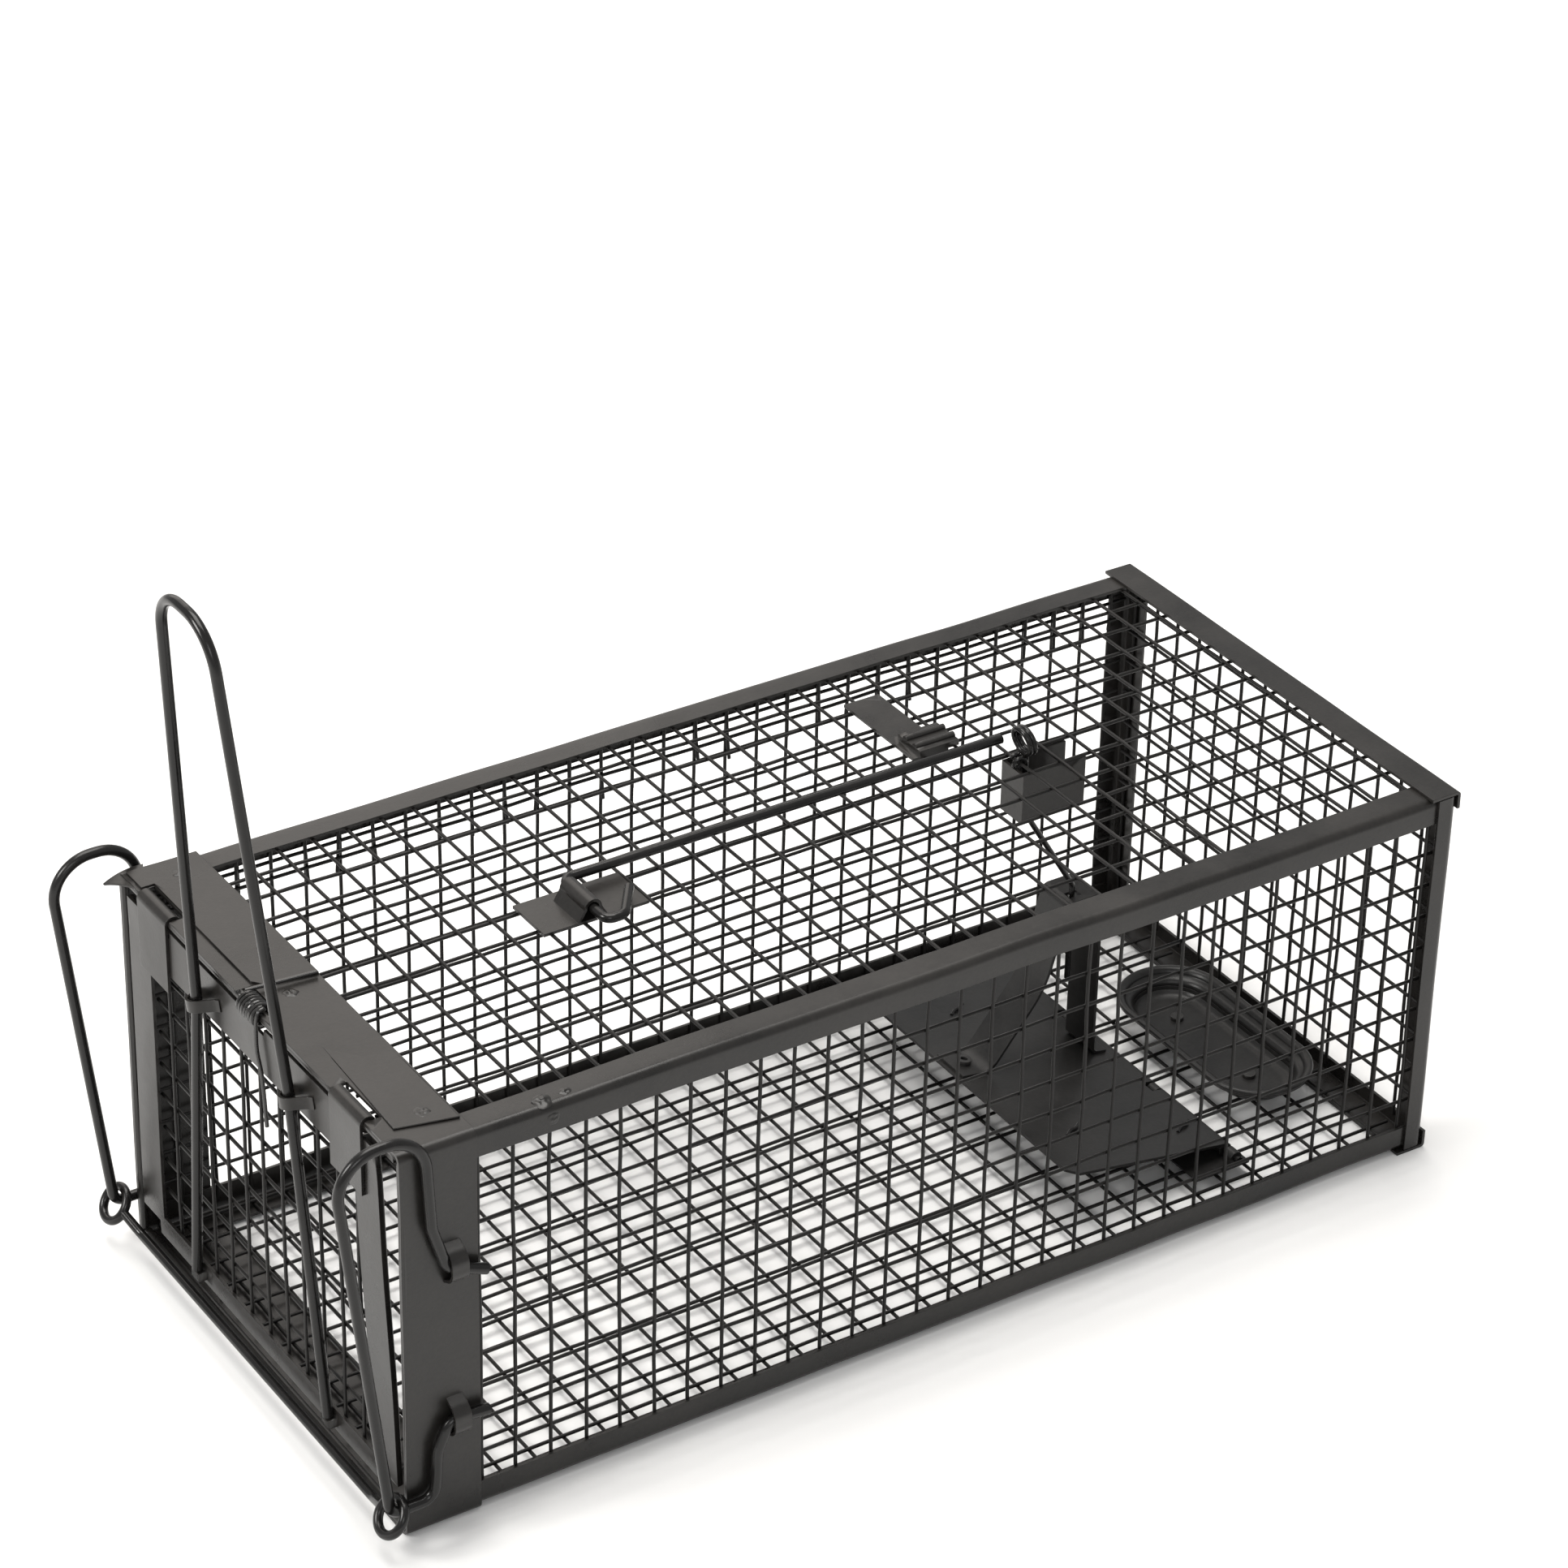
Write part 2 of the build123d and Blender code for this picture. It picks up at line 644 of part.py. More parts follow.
def bait_dish():
    """Press the oblong bait dish with an outward lip."""
    with BuildPart() as dish:
        with BuildSketch(Plane.XY.offset(FLOOR_LEVEL)):
            with Locations((front(DISH_CENTRE[0]), DISH_CENTRE[1])):
                SlotOverall(DISH_LENGTH, DISH_WIDTH, rotation=90)
        extrude(amount=DISH_HEIGHT)
        with BuildSketch(Plane.XY.offset(FLOOR_LEVEL + DISH_HEIGHT - SHEET)):
            with Locations((front(DISH_CENTRE[0]), DISH_CENTRE[1])):
                SlotOverall(DISH_LENGTH + 2 * DISH_LIP, DISH_WIDTH + 2 * DISH_LIP, rotation=90)
        extrude(amount=SHEET)
        with BuildSketch(Plane.XY.offset(FLOOR_LEVEL + SHEET)):
            with Locations((front(DISH_CENTRE[0]), DISH_CENTRE[1])):
                SlotOverall(DISH_LENGTH - 2 * SHEET, DISH_WIDTH - 2 * SHEET, rotation=90)
        extrude(amount=DISH_HEIGHT, mode=Mode.SUBTRACT)
    return dish.part


def dish_rivets():
    """Set the two rivets that hold the dish to the floor mesh."""
    with BuildPart() as rivets:
        for step in (-1, 1):
            place = (front(DISH_CENTRE[0]), DISH_CENTRE[1] + step * DISH_LENGTH / 4)
            with Locations((*place, FLOOR_LEVEL + SHEET + 0.4)):
                Cylinder(1.8, 0.8)
    return rivets.part


def long_edge(side, level):
    """Fold one of the four angles that bind the long edges of the mesh."""
    edge_front = MESH_FRONT
    edge_rear = LENGTH - 3.2
    outer_y = side * (WIDTH / 2 - SHEET)
    if level > 0:
        corner_z = HEIGHT - SHEET
    else:
        corner_z = SHEET
    return folded_angle(
        Plane.YZ.offset(front(edge_front)),
        (outer_y, corner_z),
        (-side, -level),
        (EDGE_TOP_FLANGE - SHEET, EDGE_SIDE_FLANGE - SHEET),
        edge_rear - edge_front,
    )


def rear_strip(level):
    """Fold the strip that closes the top or the bottom edge of the rear wall."""
    if level > 0:
        corner_z = HEIGHT
    else:
        corner_z = 0.0
    return folded_angle(
        Plane.XZ.offset(-WIDTH / 2),
        (front(LENGTH), corner_z),
        (-1, -level),
        (REAR_TOP_FLANGE, REAR_BACK_FLANGE),
        WIDTH,
        REAR_BEND,
    )


def rear_post(side):
    """Fold the strip that closes one upright edge of the rear wall."""
    return folded_angle(
        Plane.XY.offset(REAR_BEND),
        (front(LENGTH - SHEET), side * WIDTH / 2),
        (-1, -side),
        (REAR_SIDE_FLANGE, REAR_TOP_FLANGE),
        HEIGHT - 2 * REAR_BEND,
    )


def cage_meshes():
    """Make the five fixed mesh panels."""
    side_low = FLOOR_LEVEL + 0.2
    side_high = MESH_TOP - MESH_DEPTH - 0.2
    rear_end = REAR_MESH_FACE - MESH_DEPTH - 0.2
    span = (front(MESH_FRONT), front(rear_end))
    deck_half = MESH_SIDE - 1.5
    rear_half = MESH_SIDE - MESH_DEPTH - 0.2
    top_plane = Plane.XY.offset(MESH_TOP - MESH_DEPTH)
    floor_plane = Plane.XY.offset(MESH_FLOOR)
    right_plane = Plane.XZ.offset(MESH_SIDE - MESH_DEPTH)
    left_plane = Plane.XZ.offset(-MESH_SIDE)
    rear_plane = Plane.YZ.offset(front(REAR_MESH_FACE - MESH_DEPTH))
    deck_wires = (front(10.6), -59.3)
    side_wires = (front(11.7), 15.0)
    deck = ((span[0], -deck_half), (span[1], deck_half), deck_wires)
    wall = ((span[0], side_low), (span[1], side_high), side_wires)
    return {
        "top_mesh": mesh_panel(top_plane, *deck),
        "floor_mesh": mesh_panel(floor_plane, *deck),
        "right_mesh": mesh_panel(right_plane, *wall),
        "left_mesh": mesh_panel(left_plane, *wall),
        "rear_mesh": mesh_panel(
            rear_plane, (-rear_half, side_low), (rear_half, side_high), (-59.3, 15.0)
        ),
    }


def door_mesh():
    """Make the mesh of the door, which lies behind the frame."""
    inset = 9.2
    half = DOOR_HALF - inset
    return mesh_panel(
        Plane.YZ.offset(front(DOOR_FACE + SHEET)),
        (-half, STILE_BOTTOM + 0.4),
        (half, DOOR_TOP - 1.5),
        (-47.5, 22.0),
    )


pieces = {
    "front_band": front_band(),
    "band_overlap": band_overlap(),
    "guide_straps": guide_straps(),
    "guide_wire_left": guide_wire(1),
    "guide_wire_right": guide_wire(-1),
    "edge_top_left": long_edge(1, 1),
    "edge_top_right": long_edge(-1, 1),
    "edge_bottom_left": long_edge(1, -1),
    "edge_bottom_right": long_edge(-1, -1),
    "rear_strip_top": rear_strip(1),
    "rear_strip_bottom": rear_strip(-1),
    "rear_post_left": rear_post(1),
    "rear_post_right": rear_post(-1),
    "rod_bracket": rod_bracket(),
    "rod_clip": rod_clip(),
    "catch_bracket": catch_bracket(),
    "treadle_base": treadle_base(),
    "treadle_axle": treadle_axle(),
    "bait_dish": bait_dish(),
    "dish_rivets": dish_rivets(),
    "spring_coil": spring_coil(),
    "door_top_rail": door_top_rail(),
    "door_bottom_rail": door_bottom_rail(),
    "door_stile_left": door_stile(1),
    "door_stile_right": door_stile(-1),
    "hinge_strap_left": hinge_strap(STRAP_CENTRES[1]),
    "hinge_strap_right": hinge_strap(STRAP_CENTRES[0]),
    "door_mesh": door_mesh(),
    "lever_wire": lever_wire(),
    "lever_bridges": lever_bridges(),
    "spring_leg": spring_leg(),
    "lock_bar": lock_bar(),
    "trigger_rod": trigger_rod(),
    "catch_wire": catch_wire(),
    "treadle_plate": treadle_plate(),
    "treadle_arch": treadle_arch(),
    "arch_rivets": arch_rivets(),
}
pieces.update(cage_meshes())

os.makedirs("parts", exist_ok=True)
for name, piece in pieces.items():
    piece.label = name
    export_step(piece, f"parts/{name}.step")
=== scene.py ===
"""Looks of the live catch trap: camera, light, paint, welded wire mesh, spring and hand-bent sheet.

All lengths are in metres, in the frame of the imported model: X from the door to the rear, Z up.
Distances along the cage start at its front face, and at(x, y, z) turns millimetres into a point.
"""

import json
import math
import random

import bmesh
import bpy
from mathutils import Matrix, Vector, noise


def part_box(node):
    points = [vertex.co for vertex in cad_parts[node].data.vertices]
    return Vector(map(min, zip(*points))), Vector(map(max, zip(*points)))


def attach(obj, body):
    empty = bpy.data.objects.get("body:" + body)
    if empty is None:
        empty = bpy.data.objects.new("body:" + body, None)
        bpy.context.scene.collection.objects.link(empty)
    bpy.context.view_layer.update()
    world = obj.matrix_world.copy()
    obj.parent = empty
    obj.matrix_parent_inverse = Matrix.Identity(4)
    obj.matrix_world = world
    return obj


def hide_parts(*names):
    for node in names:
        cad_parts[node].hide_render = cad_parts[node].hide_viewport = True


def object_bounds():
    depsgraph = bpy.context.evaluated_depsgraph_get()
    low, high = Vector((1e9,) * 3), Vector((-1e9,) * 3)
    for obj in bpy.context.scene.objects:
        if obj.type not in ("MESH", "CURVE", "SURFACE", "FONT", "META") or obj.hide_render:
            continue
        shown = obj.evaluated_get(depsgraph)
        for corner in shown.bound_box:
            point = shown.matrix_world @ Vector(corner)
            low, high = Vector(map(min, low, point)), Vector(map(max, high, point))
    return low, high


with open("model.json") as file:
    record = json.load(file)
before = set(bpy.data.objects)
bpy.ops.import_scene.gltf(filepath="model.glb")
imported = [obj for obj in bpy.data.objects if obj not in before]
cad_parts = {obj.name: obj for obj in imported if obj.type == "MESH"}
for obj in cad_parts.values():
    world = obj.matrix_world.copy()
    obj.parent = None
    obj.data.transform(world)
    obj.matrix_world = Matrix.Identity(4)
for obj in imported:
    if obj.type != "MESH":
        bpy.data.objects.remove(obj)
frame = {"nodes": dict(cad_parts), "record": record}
cad_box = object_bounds()

MM = 0.001
X, Y, Z = 0, 1, 2
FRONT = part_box("front_band")[0].x
HINGE_INSET = 1.3 * MM  # the hinge axis lies this far behind the band's front, inside its rolled edge
HINGE_DROP = 1.4 * MM  # and this far below the band's top
HINGE = Vector((FRONT + HINGE_INSET, 0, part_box("front_band")[1].z - HINGE_DROP))

# Welded mesh
PITCH = 9.5 * MM
WIRE_RADIUS = 0.49 * MM
WIRE_SIDES = 7
SIDEWAYS_WAVE = 0.22 * MM  # how far a single wire wanders within the panel, between its welds
SIDEWAYS_RATE = 60  # and how quickly
DEPTH_WAVE = SIDEWAYS_WAVE * 0.6  # the same for how it wanders in and out of the panel
DEPTH_RATE = 90
OUTER_DEPTH = WIRE_RADIUS * 1.1  # how deep each layer's wires lie under the panel's outer face
INNER_DEPTH = WIRE_RADIUS * 2.75
STATION = 4.75 * MM  # spacing of the points along a mesh wire
PANEL_MARGIN = 1.5 * MM  # the last wire of a panel keeps this far from its edge
FIRST_CROSS_WIRE = FRONT + 10.6 * MM  # of the top and the floor
MESH_CREASE = 60  # degrees

# Hand-bent sheet
SHEET_GAUGE = 0.6 * MM
SHEET_WAVE = 0.3 * MM
SHEET_WAVE_LENGTH = 34 * MM
CUT_SPACING = 4.0 * MM  # spacing of the cuts that let a flat sheet bend
MERGE_DISTANCE = 1e-6
STIFF_REACH = 4 * MM  # sheet this close to the hinge edge stays true
SOFT_REACH = 12 * MM

# The sheet's noise follows this seed, which would otherwise come from the clock
NOISE_SEED = 5
noise.seed_set(NOISE_SEED)

# Camera: bearing and height of the line of sight, its roll, the lens and where it stands
CAMERA_AZIMUTH = -33.48
CAMERA_ELEVATION = 31.14
CAMERA_ROLL = 1.28
CAMERA_LENS = 112.95
CAMERA_PLACE = (-422.6, -861.05, 747.9)


def at(x, y, z):
    """Give the point that lies x behind the cage's front face, y to its left and z up, in mm."""
    return Vector((FRONT + x * MM, y * MM, z * MM))


def sheet_sway(point):
    """Give how far the hand-bent sheet strays from true at a point."""
    from_hinge = math.hypot(point.x - HINGE.x, point.z - HINGE.z)
    ease = min(max((from_hinge - STIFF_REACH) / (SOFT_REACH - STIFF_REACH), 0), 1)
    return noise.noise_vector(point / SHEET_WAVE_LENGTH) * SHEET_WAVE * ease


# ---------------------------------------------------------------- materials


def add_node(tree, kind, **values):
    """Add a shader node and set its named inputs or properties."""
    node = tree.nodes.new(kind)
    for key, value in values.items():
        if key in node.inputs:
            node.inputs[key].default_value = value
        else:
            setattr(node, key, value)
    return node


def set_ramp(node, *stops):
    """Set the two stops of a colour ramp, each a place and a colour."""
    for element, (position, colour) in zip(node.color_ramp.elements, stops):
        element.position = position
        element.color = (*colour, 1)


def satin_paint(name, dark, light, roughness, specular, grain=0.06, edge=0.22 * MM):
    """Make satin black paint: cloudy colour, uneven gloss, fine grain and, unless edge is 0, soft edges."""
    material = bpy.data.materials.new(name)
    material.use_nodes = True
    tree = material.node_tree
    link = tree.links.new
    shader = tree.nodes["Principled BSDF"]
    shader.inputs["Specular IOR Level"].default_value = specular
    place = add_node(tree, "ShaderNodeTexCoord").outputs["Object"]

    clouds = add_node(tree, "ShaderNodeTexNoise", Scale=38.0, Detail=6.0, Roughness=0.62)
    link(place, clouds.inputs["Vector"])
    specks = add_node(tree, "ShaderNodeTexNoise", Scale=900.0, Detail=3.0, Roughness=0.7)
    link(place, specks.inputs["Vector"])
    speck_share = 0.45
    blend = add_node(tree, "ShaderNodeMath", operation="MULTIPLY_ADD")
    link(specks.outputs["Fac"], blend.inputs[0])
    blend.inputs[1].default_value = speck_share
    link(clouds.outputs["Fac"], blend.inputs[2])
    tint = add_node(tree, "ShaderNodeValToRGB")
    set_ramp(tint, (0.55, dark), (0.95, light))
    link(blend.outputs["Value"], tint.inputs["Fac"])
    link(tint.outputs["Color"], shader.inputs["Base Color"])

    gloss = add_node(tree, "ShaderNodeMapRange")
    gloss.inputs["From Min"].default_value = 0.35
    gloss.inputs["From Max"].default_value = 0.7
    gloss.inputs["To Min"].default_value = roughness - 0.05
    gloss.inputs["To Max"].default_value = roughness + 0.09
    link(clouds.outputs["Fac"], gloss.inputs["Value"])
    link(gloss.outputs["Result"], shader.inputs["Roughness"])

    orange_peel = add_node(tree, "ShaderNodeBump", Strength=grain, Distance=0.4 * MM)
    link(specks.outputs["Fac"], orange_peel.inputs["Height"])
    if edge:
        soft_edge = add_node(tree, "ShaderNodeBevel", Radius=edge, samples=4)
        link(soft_edge.outputs["Normal"], orange_peel.inputs["Normal"])
    dents = add_node(tree, "ShaderNodeTexNoise", Scale=55.0, Detail=2.0, Roughness=0.5)
    link(place, dents.inputs["Vector"])
    uneven = add_node(tree, "ShaderNodeBump", Strength=0.12, Distance=1.5 * MM)
    link(dents.outputs["Fac"], uneven.inputs["Height"])
    link(orange_peel.outputs["Normal"], uneven.inputs["Normal"])
    link(uneven.outputs["Normal"], shader.inputs["Normal"])
    return material


def floor_material():
    """Make the pale studio floor, with a faint unevenness."""
    material = bpy.data.materials.new("studio_floor")
    material.use_nodes = True
    tree = material.node_tree
    shader = tree.nodes["Principled BSDF"]
    shader.inputs["Roughness"].default_value = 0.7
    place = add_node(tree, "ShaderNodeTexCoord").outputs["Object"]
    clouds = add_node(tree, "ShaderNodeTexNoise", Scale=3.0, Detail=3.0)
    tree.links.new(place, clouds.inputs["Vector"])
    tint = add_node(tree, "ShaderNodeValToRGB")
    set_ramp(tint, (0, (0.86, 0.86, 0.855)), (1, (0.9, 0.9, 0.895)))
    tree.links.new(clouds.outputs["Fac"], tint.inputs["Fac"])
    tree.links.new(tint.outputs["Color"], shader.inputs["Base Color"])
    return material


SLOT_MATERIALS = {
    "painted_sheet": satin_paint(
        "sheet_paint",
        dark=(0.009, 0.0083, 0.0076),
        light=(0.021, 0.019, 0.0172),
        roughness=0.3,
        specular=0.4,
    ),
    "painted_mesh": satin_paint(
        "mesh_paint",
        dark=(0.006, 0.0057, 0.0054),
        light=(0.014, 0.013, 0.0122),
        roughness=0.38,
        specular=0.24,
        edge=0,
    ),
    "painted_wire": satin_paint(
        "wire_paint",
        dark=(0.0045, 0.0043, 0.0041),
        light=(0.011, 0.0102, 0.0098),
        roughness=0.22,
        specular=0.34,
        grain=0.03,
        edge=0,
    ),
    "painted_treadle": satin_paint(
        "inner_paint",
        dark=(0.009, 0.0088, 0.0086),
        light=(0.022, 0.0212, 0.0204),
        roughness=0.33,
        specular=0.34,
    ),
    "spring_steel": satin_paint(
        "spring_metal",
        dark=(0.011, 0.0105, 0.01),
        light=(0.028, 0.0265, 0.0255),
        roughness=0.24,
        specular=0.6,
        grain=0.02,
        edge=0,
    ),
    "rivet_metal": satin_paint(
        "rivet_metal",
        dark=(0.011, 0.0106, 0.0102),
        light=(0.03, 0.0285, 0.027),
        roughness=0.3,
        specular=0.45,
    ),
}


def paint_nodes():
    """Give every carried-over node the paint of its slot."""
    slots = {entry["node"]: entry["material_slot"] for entry in frame["record"]["subparts"]}
    for name, node in frame["nodes"].items():
        node.data.materials.clear()
        node.data.materials.append(SLOT_MATERIALS[slots[name]])
        node.data.shade_smooth()
        node.data.set_sharp_from_angle(angle=math.radians(35))


# ---------------------------------------------------------------- mesh helpers


def finish_piece(name, bm, slot, body, replaced=(), crease=32):
    """Put a shape in the scene as a piece that rides on a body and stands for some nodes."""
    mesh = bpy.data.meshes.new(name)
    bm.to_mesh(mesh)
    bm.free()
    mesh.shade_smooth()
    mesh.set_sharp_from_angle(angle=math.radians(crease))
    mesh.materials.append(SLOT_MATERIALS[slot])
    piece = bpy.data.objects.new(name, mesh)
    bpy.context.scene.collection.objects.link(piece)
    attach(piece, body)
    if replaced:
        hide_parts(*replaced)


def join_rings(bm, a, b):
    """Join two rings of equally many points with a band of faces."""
    for k in range(len(a)):
        after = (k + 1) % len(a)
        bm.faces.new((a[k], a[after], b[after], b[k]))


def add_tube(bm, points, radius, sides):
    """Add a round tube with flat ends along a run of points."""
    forward = (points[1] - points[0]).normalized()
    side = forward.orthogonal().normalized()
    rings = []
    for i, point in enumerate(points):
        before = points[max(i - 1, 0)]
        after = points[min(i + 1, len(points) - 1)]
        forward = (after - before).normalized()
        side = (side - forward * side.dot(forward)).normalized()
        up = forward.cross(side)
        ring = []
        for k in range(sides):
            turn = 2 * math.pi * k / sides
            ring.append(bm.verts.new(point + (side * math.cos(turn) + up * math.sin(turn)) * radius))
        rings.append(ring)
    for a, b in zip(rings, rings[1:]):
        join_rings(bm, a, b)
    bm.faces.new(reversed(rings[0]))
    bm.faces.new(rings[-1])


def tube_piece(name, points, radius, slot, body, replaced=()):
    """Make a piece from one round wire."""
    bm = bmesh.new()
    add_tube(bm, points, radius, sides=10)
    finish_piece(name, bm, slot, body, replaced)


def smooth_run(points, steps=8):
    """Run a smooth curve through a list of points."""
    padded = [points[0] * 2 - points[1], *points, points[-1] * 2 - points[-2]]
    run = []
    for a, b, c, d in zip(padded, padded[1:], padded[2:], padded[3:]):
        for k in range(steps):
            t = k / steps
            slope = (c - a) * t
            bend = (2 * a - 5 * b + 4 * c - d) * t**2
            twist = (3 * b - a - 3 * c + d) * t**3
            run.append(0.5 * (2 * b + slope + bend + twist))
    return run + [points[-1]]


def arc_point(start, pull, end, t):
    """Give the point at t on the curve from start to end that bends towards pull."""
    return start * (1 - t) ** 2 + pull * 2 * t * (1 - t) + end * t**2


# ---------------------------------------------------------------- welded mesh


def welded_mesh(node, body, across, along, outward, first_across, first_along, seed):
    """Weld a panel of round wires in the place of a mesh node.

    Wires that run across the panel lie on the outer side, and wires that run along it on the inner.
    """
    low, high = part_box(node)
    face_axis, sign = outward
    outer_level = high[face_axis] if sign > 0 else low[face_axis]
    shake = random.Random(seed)
    bm = bmesh.new()
    for run_axis, step_axis, first, depth in (
        (across, along, first_along, OUTER_DEPTH),
        (along, across, first_across, INNER_DEPTH),
    ):
        length = high[run_axis] - low[run_axis]
        count = int(length / STATION)
        position = first
        while position < high[step_axis] - PANEL_MARGIN:
            drift = shake.uniform(-0.2, 0.2) * MM
            phase = shake.uniform(0, 100)
            trim = shake.uniform(0.0, 0.8) * MM
            points = []
            for i in range(count + 1):
                travel = low[run_axis] + trim + (length - 2 * trim) * i / count
                sideways = noise.noise(Vector((phase, travel * SIDEWAYS_RATE, 0)))
                in_and_out = noise.noise(Vector((phase, 0, travel * DEPTH_RATE)))
                point = Vector((0, 0, 0))
                point[run_axis] = travel
                point[step_axis] = position + drift + sideways * SIDEWAYS_WAVE
                point[face_axis] = outer_level - sign * depth + in_and_out * DEPTH_WAVE
                points.append(point + sheet_sway(point))
            add_tube(bm, points, WIRE_RADIUS, WIRE_SIDES)
            position += PITCH
    finish_piece(node + "_wires", bm, "painted_mesh", body, (node,), MESH_CREASE)


def build_meshes():
    """Build the five panels of the cage and the panel of the door."""
    deck_first = (-59.3 * MM, FIRST_CROSS_WIRE)
    wall_first = (15.0 * MM, FRONT + 11.7 * MM)
    welded_mesh("top_mesh", "cage", Y, X, (Z, 1), *deck_first, seed=1)
    welded_mesh("floor_mesh", "cage", Y, X, (Z, -1), *deck_first, seed=2)
    welded_mesh("right_mesh", "cage", Z, X, (Y, -1), *wall_first, seed=3)
    welded_mesh("left_mesh", "cage", Z, X, (Y, 1), *wall_first, seed=4)
    welded_mesh("rear_mesh", "cage", Z, Y, (X, 1), 15.0 * MM, -59.3 * MM, seed=5)
    welded_mesh("door_mesh", "door", Z, Y, (X, -1), 22.0 * MM, -47.5 * MM, seed=6)


def build_turned_ends():
    """Turn the top mesh's cross wires down inside the left wall, and run one long wire past them."""
    low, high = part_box("top_mesh")
    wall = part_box("left_mesh")[0].y - 0.45 * MM
    front = FRONT + 6 * MM
    rear = high.x - 4 * MM
    shake = random.Random(8)
    bm = bmesh.new()
    place = FIRST_CROSS_WIRE
    while place < rear:
        drop = shake.uniform(12.0, 15.5) * MM
        lean = shake.uniform(-0.9, 0.9) * MM
        top = Vector((place, wall, low.z + 0.4 * MM))
        middle = Vector((place + lean * 0.3, wall - 0.2 * MM, low.z - drop * 0.5))
        end = Vector((place + lean, wall - shake.uniform(0.1, 1.2) * MM, low.z - drop))
        add_tube(bm, smooth_run([top, middle, end], 4), WIRE_RADIUS, WIRE_SIDES)
        place += PITCH
    count = 60
    points = []
    for i in range(count + 1):
        travel = front + (rear - front) * i / count
        sag = noise.noise(Vector((3.1, travel * 30, 0))) * 0.9 * MM
        points.append(Vector((travel, wall - 0.9 * MM, low.z - 8.6 * MM + sag)))
    add_tube(bm, points, WIRE_RADIUS, WIRE_SIDES)
    finish_piece("turned_wire_ends", bm, "painted_mesh", "cage", crease=MESH_CREASE)


# ---------------------------------------------------------------- sheet


def bent_sheet(node, body):
    """Copy a sheet node, cut it finely and let it stray a little, as hand-bent sheet does."""
    bm = bmesh.new()
    bm.from_mesh(frame["nodes"][node].data)
    bmesh.ops.remove_doubles(bm, verts=bm.verts, dist=MERGE_DISTANCE)
    low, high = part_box(node)
    for axis in (X, Y, Z):
        normal = Vector((0, 0, 0))
        normal[axis] = 1
        size = high[axis] - low[axis]
        count = int(size / CUT_SPACING)
        for i in range(1, count):
            cut = normal * (low[axis] + size * i / count)
            everything = bm.verts[:] + bm.edges[:] + bm.faces[:]
            bmesh.ops.bisect_plane(bm, geom=everything, plane_co=cut, plane_no=normal)
    for vertex in bm.verts:
        vertex.co += sheet_sway(vertex.co)
    finish_piece(node + "_bent", bm, "painted_sheet", body, (node,))


def build_sheets():
    """Replace each flat sheet node with its hand-bent form."""
    sheets = {
        "cage": (
            "front_band", "band_overlap", "edge_top_left", "edge_top_right", "edge_bottom_left",
            "edge_bottom_right", "rear_strip_top", "rear_strip_bottom", "rear_post_left",
            "rear_post_right", "rod_clip", "catch_bracket",
        ),
        "door": ("door_top_rail", "door_bottom_rail", "door_stile_left", "door_stile_right"),
    }
    for body, nodes in sheets.items():
        for node in nodes:
            bent_sheet(node, body)


# ---------------------------------------------------------------- spring


def build_spring():
    """Wind the door spring round the hinge edge, with one leg on the top plate and one on the door."""
    wire = 0.52 * MM
    radius = 2.6 * MM
    turns = 7
    steps = turns * 24
    start, end = -2.4 * MM, 5.9 * MM
    coil = []
    for i in range(steps + 1):
        turn = math.pi / 2 + 2 * math.pi * turns * i / steps
        offset = Vector((math.cos(turn) * radius, 0, math.sin(turn) * radius))
        coil.append(HINGE + offset + Vector((0, start + (end - start) * i / steps, 0)))
    coil_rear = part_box("spring_coil")[1].x
    leg_end = Vector((coil_rear, end - 1.4 * MM, coil[-1].z - 0.2 * MM))
    back_leg = smooth_run([coil[-1], coil[-1].lerp(leg_end, 0.35), leg_end], 6)
    tube_piece("door_spring_coil", coil + back_leg[1:], wire, "spring_steel", "cage", ("spring_coil",))
    low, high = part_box("spring_leg")
    front_leg = smooth_run(
        [
            HINGE + Vector((0.3 * MM, start - 0.6 * MM, radius)),
            HINGE + Vector((-1.9 * MM, start - 0.9 * MM, 1.1 * MM)),
            Vector((low.x + 0.35 * MM, high.y - 0.5 * MM, high.z - 6 * MM)),
            Vector((low.x + 0.5 * MM, low.y + 1.6 * MM, (low.z + high.z) / 2)),
            Vector((low.x + 0.7 * MM, low.y + 0.5 * MM, low.z)),
        ]
    )
    tube_piece("door_spring_leg", front_leg, wire, "spring_steel", "door", ("spring_leg",))


# ---------------------------------------------------------------- bait dish


